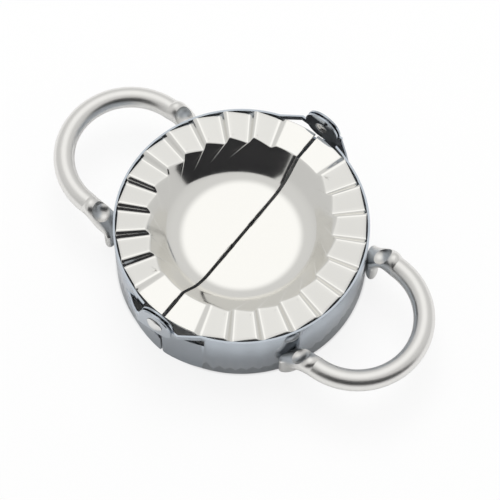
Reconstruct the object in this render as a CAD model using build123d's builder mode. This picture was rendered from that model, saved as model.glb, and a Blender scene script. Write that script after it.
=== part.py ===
"""Hinged empanada press in stainless sheet, lying open on a table.

Frame: origin on the table under the middle of the ring, +X towards one handle,
hinge axis along Y, +Z up. Millimetres. Both halves are the same parts, turned
half round about Z, so every right-hand part is made first and turned for the left.
"""

import os
from math import asin, cos, degrees, radians, sin, sqrt, tan

from build123d import *

# ---- ring and skirt -------------------------------------------------------
ring_diameter = 95.0        # outside of the cutting skirt
skirt_height = 31.0         # table to rim
skirt_sheet = 0.75
parting_gap = 0.8           # between the two halves along the fold
end_panel_angle = 20.0      # the skirt leaves the circle over this angle beside the fold
panel_stand_off = 1.0       # how far outside the circle it ends
panel_folds = 4             # flat facets of each end panel
skirt_corner_radius = 1.5   # lower corners beside the fold

# ---- press plate ----------------------------------------------------------
plate_sheet = 0.8
weld_gap = 0.05             # between parts that are spot welded
pad_inset = 0.35            # the pads' outer edges stop short of the steps
flute_drop = 0.1            # flute mid-plane below the rim
flute_count = 10            # tilted pads in each half
flute_rise = 2.6            # height of one step at the ring's edge
end_pad_angle = 17.5        # flat pad beside the hinge, to the middle of its step
step_angle = 2.5            # angle that one step takes up
crease_width = 0.8          # bevel along each crease, at the ring's edge
dish_mouth_radius = 34.5
dish_depth = 10.3
dish_wall_angle = 47.0
dish_corner_radius = 12.0

# ---- hinge ----------------------------------------------------------------
hinge_height = 1.2          # hinge axis above the rim
ear_radius = 7.25
ear_sheet = 0.75
inner_ear_offset = 1.45     # inner ear's near face outside the ring
ear_gap = 0.8               # between the two ears
arm_bend = 9.0              # from the hinge axis to where the arms leave the ears
inner_arm_height = 2.8
slot_height = 4.9
slot_overrun = 1.0          # slot's end past the crease
outer_panel_height = 12.0   # lower edge of the outer ear's flare above the table
ear_clearance = 0.75        # outer flare's bend below the ear circle
slit_start = (21.3, 19.0)   # the outer ear's arm is slit free from here, x and z,
slit_end = (8.5, 29.0)      # up to its ear

# ---- rivets ---------------------------------------------------------------
shoulder_diameter = 5.0
tenon_diameter = 3.4
running_clearance = 0.05    # on the radius, shoulder in the outer ear
end_float = 0.1             # between rivet head and outer ear
head_diameter = 7.0
head_height = 1.4
tail_diameter = 5.4
tail_height = 1.0

# ---- handles --------------------------------------------------------------
tube_diameter = 8.0
loop_radius = 25.0          # of the tube's centre line
handle_drop = 10.2          # tube's centre line below the rim
leg_length = 4.8            # round tube past the end of the bow
leg_spread = 0.5            # how far the legs spread over that length
knee_lean = 0.4             # how far the tube has sunk at the end of the leg
knee_swell = 0.2
knee_sink = 3.0             # how far the tube has sunk in the middle of its knee
knee_width = 9.2
knee_thickness = 4.8
knee_tilt = 45.0            # the tube points this far down there
dent_radius = 4.5           # dent pressed into the top of the knee
dent_depth = 1.3
dent_reach = 2.6            # from the foot's centre to the dent's middle
knee_reach = 5.6            # from the foot's centre to the end of the leg
knee_drop = 6.5             # from the tube's centre line to where the foot runs straight
foot_width = 10.4           # squeezed end that hangs down against the skirt
foot_thickness = 5.0
foot_bottom = 6.0           # above the table
foot_seat = 0.3             # depth of the hollow that seats it on the skirt

ring_radius = ring_diameter / 2
half_gap = parting_gap / 2
hinge_z = skirt_height + hinge_height
flute_z = skirt_height - flute_drop
step_radius = ring_radius - skirt_sheet - weld_gap
pad_radius = step_radius - pad_inset
pad_pitch = (180 - 2 * end_pad_angle) / flute_count
inner_ear_y = ring_radius + inner_ear_offset
outer_ear_y = inner_ear_y + ear_sheet + ear_gap
crease_x = ring_radius * sin(radians(end_panel_angle))
crease_y = ring_radius * cos(radians(end_panel_angle))
inner_crease_x = (ring_radius - skirt_sheet) * sin(radians(end_panel_angle))
panel_step = (crease_x - half_gap) / panel_folds
panel_stations = [crease_x - i * panel_step for i in range(panel_folds + 1)]
handle_z = skirt_height - handle_drop


# ---- press plates ---------------------------------------------------------
def sharp_creases():
    """Angle and relative height of each fold of the right half's flutes.

    The flutes are flat facets that all meet in one point on the ring's axis. Every
    pad climbs towards the next one and drops to it in one narrow step.
    """
    first_step = -90 + end_pad_angle
    folds = [(-90.0, 0), (first_step - step_angle / 2, 0)]
    for i in range(flute_count):
        step_before = first_step + i * pad_pitch
        folds.append((step_before + step_angle / 2, -1))
        folds.append((step_before + pad_pitch - step_angle / 2, 1))
    folds.append((90 - end_pad_angle + step_angle / 2, 0))
    folds.append((90.0, 0))
    return folds


def height_between(start, end, angle):
    """Relative height at an angle on the flat facet between two creases."""
    from_start = sin(radians(angle - start[0]))
    to_end = sin(radians(end[0] - angle))
    return (start[1] * to_end + end[1] * from_start) / sin(radians(end[0] - start[0]))


def crease_lines():
    """The folds with a narrow bevel facet in the place of each sharp crease."""
    folds = sharp_creases()
    half_bevel = degrees(crease_width / step_radius) / 2
    creases = [folds[0]]
    for before, fold, after in zip(folds, folds[1:], folds[2:]):
        low, high = fold[0] - half_bevel, fold[0] + half_bevel
        creases.append((low, height_between(before, fold, low)))
        creases.append((high, height_between(fold, after, high)))
    creases.append(folds[-1])
    return creases


def crease_point(radius, line):
    """Point on a crease line at a distance from the ring's axis."""
    angle, height = line
    climb = height * flute_rise / 2 / step_radius
    return Vector(
        radius * cos(radians(angle)), radius * sin(radians(angle)), flute_z + radius * climb
    )


def facet_outline(start, end, inner, outer):
    """Outline of one facet between two crease lines, on the facet's own plane."""
    corners = [
        crease_point(inner, start),
        crease_point(outer, start),
        crease_point(outer, end),
        crease_point(inner, end),
    ]
    apex = Vector(0, 0, flute_z)
    across = corners[1] - apex
    plane = Plane(origin=apex, x_dir=across, z_dir=across.cross(corners[2] - apex))
    with BuildSketch(plane) as outline:
        local = [plane.to_local_coords(corner) for corner in corners]
        Polygon(*[(corner.X, corner.Y) for corner in local], align=None)
    return outline.sketch


def dish_section(growth):
    """Half section of the dish with its surface moved outwards by growth."""
    top = flute_z + flute_rise
    floor = flute_z - dish_depth - growth
    slope = tan(radians(dish_wall_angle))
    mouth = dish_mouth_radius + growth / sin(radians(dish_wall_angle))
    floor_radius = mouth - (flute_z - floor) / slope
    top_radius = mouth + flute_rise / slope
    with BuildSketch(Plane.XZ) as section:
        with BuildLine():
            corner = FilletPolyline(
                (0, floor), (floor_radius, floor), (top_radius, top),
                radius=dish_corner_radius + growth,
            )
            Polyline(corner @ 1, (0, top), corner @ 0)
        make_face()
    return section.sketch


lines = crease_lines()
facets = list(zip(lines[:-1], lines[1:]))
trim_inner = dish_mouth_radius - 3 * flute_rise
trim_outer = dish_mouth_radius + 3 * flute_rise

with BuildPart() as right_press_plate:
    revolve(dish_section(plate_sheet), axis=Axis.Z)
    for start, end in facets:
        above = facet_outline(start, end, trim_inner, trim_outer)
        extrude(above, amount=2 * flute_rise, dir=(0, 0, 1), mode=Mode.SUBTRACT)
    for start, end in facets:
        is_pad = end[0] - start[0] > 2 * step_angle
        facet = facet_outline(start, end, trim_inner, pad_radius if is_pad else step_radius)
        extrude(facet, amount=plate_sheet, dir=(0, 0, -1))
    revolve(dish_section(0), axis=Axis.Z, mode=Mode.SUBTRACT)
    split(bisect_by=Plane.YZ.offset(half_gap), keep=Keep.TOP)
right_press_plate.part.label = "right_press_plate"

with BuildPart() as left_press_plate:
    add(right_press_plate.part, rotation=(0, 0, 180))
left_press_plate.part.label = "left_press_plate"


# ---- cutter bands ---------------------------------------------------------
def panel_point(x):
    """Point of an end panel's outer face, from the crease to the fold."""
    share = (crease_x - x) / (crease_x - half_gap)
    return (x, sqrt(ring_radius**2 - x**2) + panel_stand_off * share)


def shrunk(point, sheet=skirt_sheet):
    """Point of the skirt's inner face beside a point of its outer face."""
    share = 1 - sheet / ring_radius
    return (point[0] * share, point[1] * share)


def skirt_plan(sheet):
    """Plan of one half inside the skirt's outer face, or inside its sheet."""
    panel = [shrunk(panel_point(x), sheet) for x in panel_stations]
    past_fold = (-sheet, panel[-1][1])
    ends = panel + [past_fold] if sheet else panel
    with BuildSketch(Plane.XY) as plan:
        with BuildLine():
            Polyline(*[(x, -y) for x, y in reversed(ends)])
            CenterArc((0, 0), ring_radius - sheet, end_panel_angle - 90,
                      180 - 2 * end_panel_angle)
            Polyline(*ends)
            Line(ends[-1], (ends[-1][0], -ends[-1][1]))
        make_face()
    return plan.sketch


def strip_plans(stations, inner_start, level, side):
    """Plans of a sheet strip's straight lengths beside the hinge, on one level.

    The stations are points of its outer face, from the skirt to the fold.
    """
    inner = [inner_start] + [(x, y - skirt_sheet) for x, y in stations[1:]]
    plans = []
    for i in range(len(stations) - 1):
        loop = [stations[i], stations[i + 1], inner[i + 1], inner[i]]
        with BuildSketch(Plane.XY.offset(level)) as plan:
            Polygon(*[(x, side * y) for x, y in loop], align=None)
        plans.append(plan.sketch)
    return plans


def ear_outline(near_y, side):
    """Round ear on the hinge axis, drawn on its face towards the ring."""
    with BuildSketch(Plane.XZ.offset(-side * near_y)) as outline:
        with Locations((0, hinge_z)):
            Circle(ear_radius)
    return outline.sketch


slit_y = sqrt(ring_radius**2 - slit_start[0] ** 2)
slit_inner = (slit_start[0], sqrt((ring_radius - skirt_sheet) ** 2 - slit_start[0] ** 2))
inner_face_y = inner_ear_y + ear_sheet
outer_face_y = outer_ear_y + ear_sheet
flare_foot = [(slit_start[0], slit_y)] + [panel_point(x) for x in panel_stations]
flare_head = []
for x, y in flare_foot:
    share = min(1, (slit_start[0] - x) / (slit_start[0] - arm_bend))
    flare_head.append((x, slit_y + (outer_face_y - slit_y) * share))
arm_line = [(crease_x, crease_y), (arm_bend, inner_face_y), (half_gap, inner_face_y)]
slot_top = skirt_height - inner_arm_height
slot_bottom = slot_top - slot_height
slot_end = crease_x + slot_overrun
flare_top = hinge_z - ear_radius - ear_clearance
window_depth = ring_radius - crease_y + outer_ear_y


def slit_window(below):
    """What lies below or above the slit, seen along the hinge axis from the rear."""
    past_fold = -half_gap
    past_rim = 2 * hinge_z
    with BuildSketch(Plane.XZ.offset(-crease_y + window_depth / 2)) as window:
        if below:
            Polygon((past_fold, outer_panel_height), (slit_start[0], outer_panel_height),
                    slit_start, slit_end, (slit_end[0], past_rim), (past_fold, past_rim),
                    align=None)
        else:
            Polygon(slit_start, slit_end, (slit_end[0], past_rim), (slit_start[0], past_rim),
                    align=None)
    return window.sketch


with BuildPart() as right_cutter_band:
    extrude(skirt_plan(0), amount=skirt_height)
    extrude(skirt_plan(skirt_sheet), amount=skirt_height, mode=Mode.SUBTRACT)
    # Front end: a slot parts the inner ear's arm from the panel below it.
    with Locations((0, -ring_radius, slot_bottom)):
        Box(slot_end, window_depth, slot_height, mode=Mode.SUBTRACT,
            align=(Align.MIN, Align.CENTER, Align.MIN))
    with Locations((0, -ring_radius, slot_top)):
        Box(inner_crease_x, window_depth, inner_arm_height, mode=Mode.SUBTRACT,
            align=(Align.MIN, Align.CENTER, Align.MIN))
    for plan in strip_plans(arm_line, shrunk(arm_line[0]), slot_top, -1):
        extrude(plan, amount=inner_arm_height, dir=(0, 0, 1))
    extrude(ear_outline(inner_ear_y, -1), amount=ear_sheet)
    # Rear end: below the slit the panel flares out to the outer ear.
    extrude(slit_window(below=True), amount=-window_depth, mode=Mode.SUBTRACT)
    feet = strip_plans(flare_foot, slit_inner, outer_panel_height, 1)
    heads = strip_plans(flare_head, slit_inner, flare_top, 1)
    for foot, head in zip(feet, heads):
        flare = loft([foot, head], ruled=True, mode=Mode.PRIVATE)
        top = extrude(head, amount=skirt_height - flare_top, dir=(0, 0, 1), mode=Mode.PRIVATE)
        add(flare + top - extrude(slit_window(below=False), amount=-2 * window_depth,
                                  mode=Mode.PRIVATE))
    extrude(ear_outline(outer_ear_y, 1), amount=-ear_sheet)
    with Locations(Location((0, -inner_ear_y, hinge_z), (90, 0, 0))):
        Cylinder(tenon_diameter / 2, 4 * ear_sheet, mode=Mode.SUBTRACT)
    with Locations(Location((0, outer_ear_y, hinge_z), (90, 0, 0))):
        Cylinder(shoulder_diameter / 2 + running_clearance, 4 * ear_sheet, mode=Mode.SUBTRACT)
    fold_corners = edges().filter_by(Axis.Y).group_by(Axis.Z)[0]
    fillet(fold_corners, skirt_corner_radius)
right_cutter_band.part.label = "right_cutter_band"

with BuildPart() as left_cutter_band:
    add(right_cutter_band.part, rotation=(0, 0, 180))
left_cutter_band.part.label = "left_cutter_band"

# ---- rivets ---------------------------------------------------------------
head_y = outer_ear_y + ear_sheet + end_float


def dome(radius, height):
    """Radius of the sphere for a cap of the given height on a circle."""
    return (radius**2 + height**2) / (2 * height)


with BuildPart() as rear_rivet:
    with BuildSketch(Plane.YZ):
        with BuildLine():
            head_edge = (head_y, hinge_z + head_diameter / 2)
            tail_edge = (inner_ear_y, hinge_z + tail_diameter / 2)
            Polyline(
                (inner_ear_y - tail_height, hinge_z),
                (head_y + head_height, hinge_z),
            )
            RadiusArc((head_y + head_height, hinge_z), head_edge,
                      -dome(head_diameter / 2, head_height))
            Polyline(
                head_edge,
                (head_y, hinge_z + shoulder_diameter / 2),
                (inner_face_y, hinge_z + shoulder_diameter / 2),
                (inner_face_y, hinge_z + tenon_diameter / 2),
                (inner_ear_y, hinge_z + tenon_diameter / 2),
                tail_edge,
            )
            RadiusArc(tail_edge, (inner_ear_y - tail_height, hinge_z),
                      -dome(tail_diameter / 2, tail_height))
        make_face()
    revolve(axis=Axis((0, 0, hinge_z), (0, 1, 0)))
rear_rivet.part.label = "rear_rivet"

with BuildPart() as front_rivet:
    add(rear_rivet.part, rotation=(0, 0, 180))
front_rivet.part.label = "front_rivet"

# ---- handles --------------------------------------------------------------
tube_radius = tube_diameter / 2
foot_inner = ring_radius + weld_gap
foot_radius = foot_inner + foot_thickness / 2 - foot_seat
foot_angle = degrees(asin(loop_radius / foot_radius))
foot_centre = (foot_radius * cos(radians(foot_angle)), loop_radius)
foot_top = handle_z - knee_drop
leg_end = (foot_centre[0] + knee_reach, loop_radius + leg_spread)
loop_reach = leg_end[0] + leg_length
knee = ((leg_end[0] + foot_centre[0]) / 2, (leg_end[1] + foot_centre[1]) / 2)
dent_place = (foot_centre[0] + dent_reach, loop_radius)


def tube_section(x, y, z, half_width, half_height, tilt=0.0):
    """Cross-section of the tube at a point of its leg, tilted down by an angle."""
    normal = Vector(-cos(radians(tilt)), 0, -sin(radians(tilt)))
    with BuildSketch(Plane(origin=(x, y, z), x_dir=(0, 1, 0), z_dir=normal)) as section:
        Ellipse(half_width, half_height)
    return section.sketch


def foot_section(level):
    """Plan of the squeezed end that hangs against the skirt."""
    with BuildSketch(Plane.XY.offset(level)) as section:
        with Locations(Location((*foot_centre, 0), (0, 0, foot_angle))):
            Ellipse(foot_thickness / 2, foot_width / 2)
    return section.sketch


with BuildPart() as right_handle:
    loft([
        tube_section(loop_reach, loop_radius, handle_z, tube_radius, tube_radius),
        tube_section(*leg_end, handle_z - knee_lean, tube_radius + knee_swell, tube_radius),
        tube_section(*knee, handle_z - knee_sink, knee_width / 2, knee_thickness / 2, knee_tilt),
        foot_section(foot_top),
    ])
    extrude(foot_section(foot_top), amount=foot_top - foot_bottom, dir=(0, 0, -1))
    with Locations((*dent_place, handle_z - knee_sink + knee_thickness / 2 - dent_depth
                    + dent_radius)):
        Sphere(dent_radius, mode=Mode.SUBTRACT)
    mirror(about=Plane.XZ)
    with BuildLine() as bow:
        CenterArc((loop_reach, 0, handle_z), loop_radius, -90, 180)
    with BuildSketch(Plane(origin=bow.line @ 0, z_dir=bow.line % 0)):
        Circle(tube_radius)
    sweep(path=bow.line)
    Cylinder(foot_inner, 3 * skirt_height, mode=Mode.SUBTRACT)
right_handle.part.label = "right_handle"

with BuildPart() as left_handle:
    add(right_handle.part, rotation=(0, 0, 180))
left_handle.part.label = "left_handle"

# ---- files ----------------------------------------------------------------
os.makedirs("parts", exist_ok=True)
export_step(right_press_plate.part, "parts/right_press_plate.step")
export_step(left_press_plate.part, "parts/left_press_plate.step")
export_step(right_cutter_band.part, "parts/right_cutter_band.step")
export_step(left_cutter_band.part, "parts/left_cutter_band.step")
export_step(rear_rivet.part, "parts/rear_rivet.step")
export_step(front_rivet.part, "parts/front_rivet.step")
export_step(right_handle.part, "parts/right_handle.step")
export_step(left_handle.part, "parts/left_handle.step")
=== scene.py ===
"""Looks of the empanada press: polished stainless sheet, satin tube handles, a white sweep."""

from math import atan2, cos, pi, radians, sin, tan

import bmesh
import bpy
from mathutils import Matrix, Vector


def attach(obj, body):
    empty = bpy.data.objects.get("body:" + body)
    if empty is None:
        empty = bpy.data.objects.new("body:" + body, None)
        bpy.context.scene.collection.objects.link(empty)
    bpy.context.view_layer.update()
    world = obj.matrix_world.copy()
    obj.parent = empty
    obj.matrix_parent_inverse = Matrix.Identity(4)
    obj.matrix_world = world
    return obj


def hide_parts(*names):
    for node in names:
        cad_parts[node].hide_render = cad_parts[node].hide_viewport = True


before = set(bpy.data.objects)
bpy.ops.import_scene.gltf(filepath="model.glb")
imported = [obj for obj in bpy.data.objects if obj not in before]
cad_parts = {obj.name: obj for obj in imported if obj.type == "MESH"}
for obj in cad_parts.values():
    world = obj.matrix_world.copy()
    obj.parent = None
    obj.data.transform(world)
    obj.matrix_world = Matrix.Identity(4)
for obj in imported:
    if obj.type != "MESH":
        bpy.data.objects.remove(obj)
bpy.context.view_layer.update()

MM = 0.001
SAME_PLACE = 0.001 * MM

# Camera, as the photograph was taken
CAMERA_AZIMUTH = 37.8
CAMERA_ELEVATION = 65.9
CAMERA_DISTANCE = 0.85
CAMERA_LENS = 165.8
CAMERA_SHIFT = (0.0172, -0.0526)
RIM_CENTRE = Vector((0, 0, 0.031))


def direction(azimuth, elevation):
    """Unit vector towards a place given by its azimuth and elevation in degrees."""
    a, e = radians(azimuth), radians(elevation)
    return Vector((sin(a) * cos(e), -cos(a) * cos(e), sin(e)))


# ---- materials ------------------------------------------------------------
class Finish:
    """A metal finish built from shader nodes."""

    def __init__(self, name, colour, roughness):
        self.material = bpy.data.materials.new(name)
        self.material.use_nodes = True
        self.tree = self.material.node_tree
        self.shader = self.tree.nodes["Principled BSDF"]
        self.shader.inputs["Base Color"].default_value = (*colour, 1)
        self.shader.inputs["Metallic"].default_value = 1.0
        self.shader.inputs["Roughness"].default_value = roughness
        self.places = self.node("ShaderNodeTexCoord").outputs["Object"]

    def node(self, kind, **sockets):
        made = self.tree.nodes.new(kind)
        for name, value in sockets.items():
            made.inputs[name.replace("_", " ")].default_value = value
        return made

    def join(self, source, target):
        self.tree.links.new(source, target)

    def noise(self, scale, detail, stretch=(1, 1, 1)):
        """Noise in object space, drawn out along the axes."""
        mapping = self.node("ShaderNodeMapping", Scale=stretch)
        grain = self.node("ShaderNodeTexNoise", Scale=scale, Detail=detail)
        self.join(self.places, mapping.inputs["Vector"])
        self.join(mapping.outputs["Vector"], grain.inputs["Vector"])
        return grain.outputs["Fac"]

    def spread(self, source, low, high):
        """The source's 0 to 1 laid out between two values."""
        ramp = self.node("ShaderNodeMapRange", To_Min=low, To_Max=high)
        self.join(source, ramp.inputs["Value"])
        return ramp.outputs["Result"]

    def vary_roughness(self, source, low, high):
        self.join(self.spread(source, low, high), self.shader.inputs["Roughness"])


def polished_plate():
    finish = Finish("polished_plate", (0.86, 0.85, 0.82), 0.12)
    finish.vary_roughness(finish.noise(400, 4), 0.08, 0.16)
    return finish.material


def rolled_skirt():
    # Painted reflection: the base colour is darker and bluer than the plate's steel, standing
    # in for the shaded grey-blue floor that the upright skirt mirrors; the stretched roughness
    # grain is its rolled finish.
    finish = Finish("rolled_skirt", (0.47, 0.51, 0.56), 0.12)
    finish.vary_roughness(finish.noise(300, 4, (1, 1, 0.05)), 0.08, 0.16)
    return finish.material


def satin_tube():
    finish = Finish("satin_tube", (0.80, 0.79, 0.77), 0.3)
    finish.vary_roughness(finish.noise(500, 4), 0.26, 0.36)
    return finish.material


def rivet_steel():
    finish = Finish("rivet_steel", (0.75, 0.75, 0.74), 0.2)
    return finish.material


PLATE = polished_plate()
SKIRT_WITH_PAINTED_REFLECTION = rolled_skirt()
TUBE = satin_tube()
RIVET = rivet_steel()

EDGE_ROUNDING = 0.16 * MM
SHARP_EDGE = radians(50)


def round_edges(node):
    """Breaks a solid's sharp edges, as tumbling does to sheet parts."""
    weld = node.modifiers.new("weld", "WELD")
    weld.merge_threshold = SAME_PLACE
    bevel = node.modifiers.new("broken_edges", "BEVEL")
    bevel.width = EDGE_ROUNDING
    bevel.segments = 2
    bevel.limit_method = "ANGLE"
    bevel.angle_limit = SHARP_EDGE
    bevel.harden_normals = True


FINISHES = {
    "plate": (PLATE, "polished_plate"),
    "band": (SKIRT_WITH_PAINTED_REFLECTION, "rolled_skirt"),
    "handle": (TUBE, "satin_tube"),
    "rivet": (RIVET, "rivet_steel"),
}

for name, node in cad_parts.items():
    kind = name.split("_")[-1]
    material, slot = FINISHES[kind]
    node.data.materials.clear()
    node.data.materials.append(material)
    if kind in ("band", "rivet"):
        round_edges(node)


# ---- press plates ---------------------------------------------------------
PLATE_SHEET = 0.8 * MM
FLUTE_LEVEL = RIM_CENTRE.z - 0.1 * MM
FLUTE_COUNT = 10
FLUTE_RISE = 2.6 * MM
END_PAD = 17.5              # flat pad beside the fold, in degrees
STEP = 2.5                  # one step, in degrees
PITCH = (180 - 2 * END_PAD) / FLUTE_COUNT
STEP_REACH = 46.7 * MM
PAD_REACH = 46.35 * MM
FLUTE_CLIMB = FLUTE_RISE / STEP_REACH
MOUTH = 34.5 * MM
DISH_DEPTH = 10.3 * MM
WALL_SLOPE = radians(47)
FLOOR_BEND = 12.0 * MM
MOUTH_BEND = 1.0 * MM
PARTING = 0.55 * MM
CREASE_SPAN = 1.05          # a crease is rounded this far to each side, in degrees
CREASE_TAPS = 9
PAST_CREASE = 0.2
CREASE_TURNS = 18
PAD_TURNS = 6
PAST_FOLD = 2.0
RIM_ANGLE = radians(80)
RIM_ROUNDING = 0.22 * MM
SHADING_ANGLE = radians(40)


def flute_lines():
    """Angle and relative height of each crease, from one end of the half ring to the other."""
    first = -90 + END_PAD
    lines = [(-90 - 2 * PAST_FOLD, 0), (first - STEP / 2, 0)]
    for i in range(FLUTE_COUNT):
        lines.append((first + i * PITCH + STEP / 2, -1))
        lines.append((first + (i + 1) * PITCH - STEP / 2, 1))
    lines.append((90 - END_PAD + STEP / 2, 0))
    lines.append((90 + 2 * PAST_FOLD, 0))
    return lines


LINES = flute_lines()


def facet_at(angle):
    """The two creases that an angle lies between."""
    for start, end in zip(LINES, LINES[1:]):
        if angle <= end[0]:
            return start, end
    return LINES[-2], LINES[-1]


def sharp_climb(angle):
    """Rise of the folded ring per metre of radius, before the creases are rounded."""
    (a, low), (b, high) = facet_at(angle)
    share = low * sin(radians(b - angle)) + high * sin(radians(angle - a))
    return FLUTE_CLIMB / 2 * share / sin(radians(b - a))


def sharp_reach(angle):
    """Radius of the ring's outer edge: straight along a pad, round along a step."""
    (a, low), (b, high) = facet_at(angle)
    if b - a < 1.5 * STEP:
        return STEP_REACH
    if a < -90 or b > 90:
        return PAD_REACH
    return PAD_REACH * cos(radians(b - a) / 2) / cos(radians(angle - (a + b) / 2))


def rounded(law, angle):
    """A law of the angle, averaged over the width of a rounded crease."""
    last = CREASE_TAPS - 1
    spots = [angle + CREASE_SPAN * (2 * i / last - 1) for i in range(CREASE_TAPS)]
    return sum(law(spot) for spot in spots) / CREASE_TAPS


def cut_profile(mesh):
    """Half section of the plate as a wire at the angle where the spin begins."""
    slope = tan(WALL_SLOPE)
    floor = FLUTE_LEVEL - DISH_DEPTH
    points = [
        (0, floor),
        (MOUTH - DISH_DEPTH / slope, floor),
        (MOUTH, FLUTE_LEVEL),
        (STEP_REACH, FLUTE_LEVEL),
    ]
    corners = [mesh.verts.new((r, 0, z)) for r, z in points]
    wires = [mesh.edges.new(pair) for pair in zip(corners, corners[1:])]
    bmesh.ops.subdivide_edges(mesh, edges=[wires[0]], cuts=4)
    bends = ((points[1], FLOOR_BEND, 16), (points[2], MOUTH_BEND, 5))
    for (r, z), bend, segments in bends:
        corner = min(mesh.verts, key=lambda vert: (vert.co - Vector((r, 0, z))).length)
        bmesh.ops.bevel(mesh, geom=[corner], affect="VERTICES",
                        offset=bend * tan(WALL_SLOPE / 2), segments=segments,
                        profile=0.5, material=-1)
    outer = max(mesh.edges, key=lambda edge: sum(v.co.x for v in edge.verts))
    bmesh.ops.subdivide_edges(mesh, edges=[outer], cuts=8)
    wall = max(mesh.edges, key=lambda edge: abs(edge.verts[0].co.z - edge.verts[1].co.z))
    bmesh.ops.subdivide_edges(mesh, edges=[wall], cuts=4)


def spin_ring(mesh):
    """Spins the profile over the half ring, with short turns where the creases are."""
    start = -90 - PAST_FOLD
    turn = Matrix.Rotation(radians(start), 3, "Z")
    bmesh.ops.rotate(mesh, verts=mesh.verts[:], cent=(0, 0, 0), matrix=turn)
    crease_reach = STEP / 2 + CREASE_SPAN + PAST_CREASE
    turns = []
    angle = start
    for i in range(FLUTE_COUNT + 1):
        middle = -90 + END_PAD + i * PITCH
        turns.append((middle - crease_reach - angle, PAD_TURNS))
        turns.append((2 * crease_reach, CREASE_TURNS))
        angle = middle + crease_reach
    turns.append((90 + PAST_FOLD - angle, PAD_TURNS))
    edge_line = mesh.verts[:] + mesh.edges[:]
    for width, steps in turns:
        spun = bmesh.ops.spin(mesh, geom=edge_line, cent=(0, 0, 0), axis=(0, 0, 1),
                              angle=radians(width), steps=steps)
        edge_line = spun["geom_last"]
    bmesh.ops.remove_doubles(mesh, verts=mesh.verts[:], dist=SAME_PLACE)


def press_flutes(mesh):
    """Moves the flat ring onto the flutes and carries the dish's wall up or down to it."""
    slope = tan(WALL_SLOPE)
    wall_foot = FLUTE_LEVEL - DISH_DEPTH + FLOOR_BEND * (1 - cos(WALL_SLOPE))
    for vert in mesh.verts:
        radius = vert.co.xy.length
        if vert.co.z < wall_foot:
            continue
        angle = atan2(vert.co.y, vert.co.x) * 180 / pi
        climb = rounded(sharp_climb, angle)
        reach = rounded(sharp_reach, angle)
        mouth_move = MOUTH * climb / (slope - climb)
        if radius < MOUTH:
            share = (vert.co.z - wall_foot) / (FLUTE_LEVEL - wall_foot)
            move = (share * mouth_move, share * mouth_move * slope)
        else:
            share = (radius - MOUTH) / (STEP_REACH - MOUTH)
            out = mouth_move * (1 - share) + (reach - STEP_REACH) * share
            move = (out, (radius + out) * climb)
        away = Vector((vert.co.x, vert.co.y, 0)).normalized()
        vert.co += away * move[0] + Vector((0, 0, move[1]))


def press_plate(name, body, turned):
    """One half plate: dish and fluted ring pressed from one sheet, with rounded edges."""
    mesh = bmesh.new()
    cut_profile(mesh)
    spin_ring(mesh)
    press_flutes(mesh)
    everything = mesh.verts[:] + mesh.edges[:] + mesh.faces[:]
    bmesh.ops.bisect_plane(mesh, geom=everything, dist=SAME_PLACE,
                           plane_co=(PARTING, 0, 0), plane_no=(-1, 0, 0), clear_outer=True)
    bmesh.ops.recalc_face_normals(mesh, faces=mesh.faces[:])
    if sum(face.normal.z for face in mesh.faces) < 0:
        bmesh.ops.reverse_faces(mesh, faces=mesh.faces[:])
    bmesh.ops.solidify(mesh, geom=mesh.faces[:], thickness=PLATE_SHEET)
    rims = [edge for edge in mesh.edges
            if len(edge.link_faces) == 2 and edge.calc_face_angle() > RIM_ANGLE]
    bmesh.ops.bevel(mesh, geom=rims, affect="EDGES", offset=RIM_ROUNDING, segments=3,
                    profile=0.5, material=-1)
    if turned:
        bmesh.ops.rotate(mesh, verts=mesh.verts[:], cent=(0, 0, 0),
                         matrix=Matrix.Rotation(pi, 3, "Z"))
    return keep(mesh, name, body, PLATE)


def keep(mesh, name, body, material):
    """Turns a finished bmesh into a smooth piece that rides on its body."""
    for face in mesh.faces:
        face.smooth = True
    data = bpy.data.meshes.new(name)
    mesh.to_mesh(data)
    mesh.free()
    data.materials.append(material)
    data.set_sharp_from_angle(angle=SHADING_ANGLE)
    piece = bpy.data.objects.new(name, data)
    bpy.context.scene.collection.objects.link(piece)
    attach(piece, body)
    return piece


for name, body, turned in (
    ("right_plate", "right_half", False),
    ("left_plate", "left_half", True),
):
    plate = press_plate(name, body, turned)
    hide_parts(name.replace("plate", "press_plate"))


# ---- studio ---------------------------------------------------------------
# Painted shadow: for the camera the floor's white glow is switched off in a fixed disc under
# the press, so there the paper shows only its lamp-lit shade; the disc stays put when the
# press folds.
PAINTED_SHADOW_UNDER_PRESS = (0.0465, 0.0485)      # radii over which the camera sees the floor turn white
# Painted shade: for the metal the floor's glow fades in only away from the press, so the paper
# it mirrors near the press is dim.
PAINTED_SHADE_NEAR_PRESS = (0.07, 0.25)                # radii over which the metal sees it turn white
PAPER_SHARE = 0.85
OVERHEAD = direction(217.8, 65.9)   # where polished faces that point up see the room
GLOW = (38, 4, 0.72, 1.12)          # angles from there in degrees, and brightness at each
SIDES = (100, 45, 0.84, 1.0)


class Nodes:
    """Adds and joins nodes in a tree."""

    def __init__(self, tree):
        self.tree = tree

    def add(self, kind, *sources, **settings):
        made = self.tree.nodes.new(kind)
        for name, value in settings.items():
            setattr(made, name, value)
        for socket, source in zip(made.inputs, sources):
            if isinstance(source, bpy.types.NodeSocket):
                self.tree.links.new(source, socket)
            elif source is not None:
                socket.default_value = source
        return made.outputs[0]

    def math(self, operation, *sources):
        return self.add("ShaderNodeMath", *sources, operation=operation)

    def glow(self, cosine, far, near, low, high):
        """Low at the far angle and high at the near one, in degrees from a direction."""
        return self.fade(cosine, cos(radians(far)), cos(radians(near)), low, high)

    def fade(self, value, start, end, low, high):
        """Low up to the start and high from the end, with a soft change between them."""
        return self.add("ShaderNodeMapRange", value, start, end, low, high,
                        interpolation_type="SMOOTHSTEP")


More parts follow.
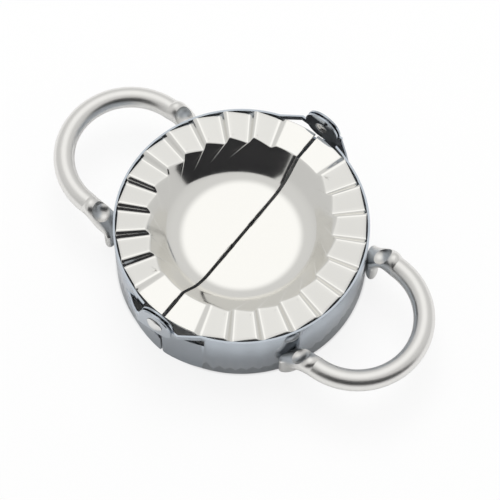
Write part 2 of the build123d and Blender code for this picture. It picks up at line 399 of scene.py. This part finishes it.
def lay_floor():
    """White paper: it glows for the camera and the metal, but not under the press, where a
    fixed disc without glow is painted shadow; the metal also sees it dim near the press, as
    painted shade.
    """
    bpy.ops.mesh.primitive_plane_add(size=6)
    floor = bpy.context.object
    floor.name = "floor"
    material = bpy.data.materials.new("floor_paper")
    material.use_nodes = True
    tree = material.node_tree
    nodes = Nodes(tree)
    paper = tree.nodes["Principled BSDF"]
    paper.inputs["Base Color"].default_value = (0.8, 0.8, 0.8, 1)
    paper.inputs["Roughness"].default_value = 0.9
    paper.inputs["Specular IOR Level"].default_value = 0
    path = tree.nodes.new("ShaderNodeLightPath").outputs
    places = tree.nodes.new("ShaderNodeTexCoord").outputs["Object"]
    away = tree.nodes.new("ShaderNodeVectorMath")
    away.operation = "LENGTH"
    tree.links.new(places, away.inputs[0])
    distance = away.outputs["Value"]
    # Painted shadow under the press, for camera rays: the glow share rises with distance from
    # the press's centre.
    outside = nodes.fade(distance, PAINTED_SHADOW_UNDER_PRESS[0], PAINTED_SHADOW_UNDER_PRESS[1], 0.0, PAPER_SHARE)
    # Painted shade around the press, for glossy rays.
    clear = nodes.fade(distance, PAINTED_SHADE_NEAR_PRESS[0], PAINTED_SHADE_NEAR_PRESS[1], 0.0, PAPER_SHARE)
    straight = nodes.math("MAXIMUM", path["Is Camera Ray"], path["Is Transmission Ray"])
    seen = nodes.math("MULTIPLY", straight, outside)
    mirrored = nodes.math("MULTIPLY", path["Is Glossy Ray"], clear)
    share = nodes.math("MAXIMUM", seen, mirrored)
    white = nodes.add("ShaderNodeEmission")
    mix = nodes.add("ShaderNodeMixShader", share, paper.outputs[0], white)
    tree.links.new(mix, tree.nodes["Material Output"].inputs["Surface"])
    floor.data.materials.append(material)


def light_room():
    """A white room, brightest overhead behind the press."""
    world = bpy.data.worlds.new("room")
    bpy.context.scene.world = world
    world.use_nodes = True
    tree = world.node_tree
    nodes = Nodes(tree)
    towards = tree.nodes.new("ShaderNodeTexCoord").outputs["Generated"]
    dot = tree.nodes.new("ShaderNodeVectorMath")
    dot.operation = "DOT_PRODUCT"
    tree.links.new(towards, dot.inputs[0])
    dot.inputs[1].default_value = OVERHEAD
    towards_overhead = dot.outputs["Value"]
    glow = nodes.math("MULTIPLY", nodes.glow(towards_overhead, *GLOW),
                      nodes.glow(towards_overhead, *SIDES))
    path = tree.nodes.new("ShaderNodeLightPath").outputs
    plain = nodes.math("MAXIMUM", glow, path["Is Camera Ray"])
    room = tree.nodes["Background"]
    room.inputs["Color"].default_value = (1, 1, 0.99, 1)
    tree.links.new(plain, room.inputs["Strength"])


def hang_softbox(name, away, distance, size, strength):
    """Round lamp that lights the floor and dull faces, and that metal doesn't mirror."""
    lamp = bpy.data.lights.new(name, "AREA")
    lamp.shape = "DISK"
    lamp.size = size
    lamp.energy = strength
    box = bpy.data.objects.new(name, lamp)
    bpy.context.scene.collection.objects.link(box)
    box.location = RIM_CENTRE + away * distance
    box.rotation_mode = "QUATERNION"
    box.rotation_quaternion = away.to_track_quat("Z", "Y")
    box.visible_glossy = False


def stand_card(name, azimuth, distance, left, right, low, high):
    """Black upright card that only polished metal sees.

    Its sides and its lower and upper edge are given by the azimuths and elevations, in
    degrees, at which the press sees them.
    """
    bpy.ops.mesh.primitive_plane_add(size=1)
    card = bpy.context.object
    card.name = name
    away = direction(azimuth, 0)
    along = direction(azimuth + 90, 0)
    up = Vector((0, 0, 1))
    corners = []
    for side, edge in ((left, low), (right, low), (left, high), (right, high)):
        reach = tan(radians(side - azimuth)) * distance
        rise = tan(radians(edge)) * distance
        corners.append(RIM_CENTRE + away * distance + along * reach + up * rise)
    for vert, corner in zip(card.data.vertices, corners):
        vert.co = corner
    material = bpy.data.materials.new(name)
    material.use_nodes = True
    black = material.node_tree.nodes["Principled BSDF"]
    black.inputs["Base Color"].default_value = (0.01, 0.01, 0.01, 1)
    black.inputs["Specular IOR Level"].default_value = 0
    black.inputs["Emission Color"].default_value = (0.016, 0.016, 0.018, 1)
    black.inputs["Emission Strength"].default_value = 1.0
    card.data.materials.append(material)
    card.visible_camera = False
    card.visible_diffuse = False
    card.visible_shadow = False


def place_camera():
    lens = bpy.data.cameras.new("camera")
    lens.lens = CAMERA_LENS
    lens.sensor_width = 36
    lens.shift_x, lens.shift_y = CAMERA_SHIFT
    camera = bpy.data.objects.new("camera", lens)
    bpy.context.scene.collection.objects.link(camera)
    back = direction(CAMERA_AZIMUTH, CAMERA_ELEVATION)
    camera.location = RIM_CENTRE + back * CAMERA_DISTANCE
    camera.rotation_mode = "QUATERNION"
    camera.rotation_quaternion = (-back).to_track_quat("-Z", "Y")
    bpy.context.scene.camera = camera


lay_floor()
light_room()
hang_softbox("top_softbox", OVERHEAD, distance=1.2, size=0.9, strength=8)
stand_card("front_card", azimuth=27.3, distance=0.6, left=-10, right=103, low=13, high=61)
place_camera()

view = bpy.context.scene.view_settings
view.view_transform = "Standard"
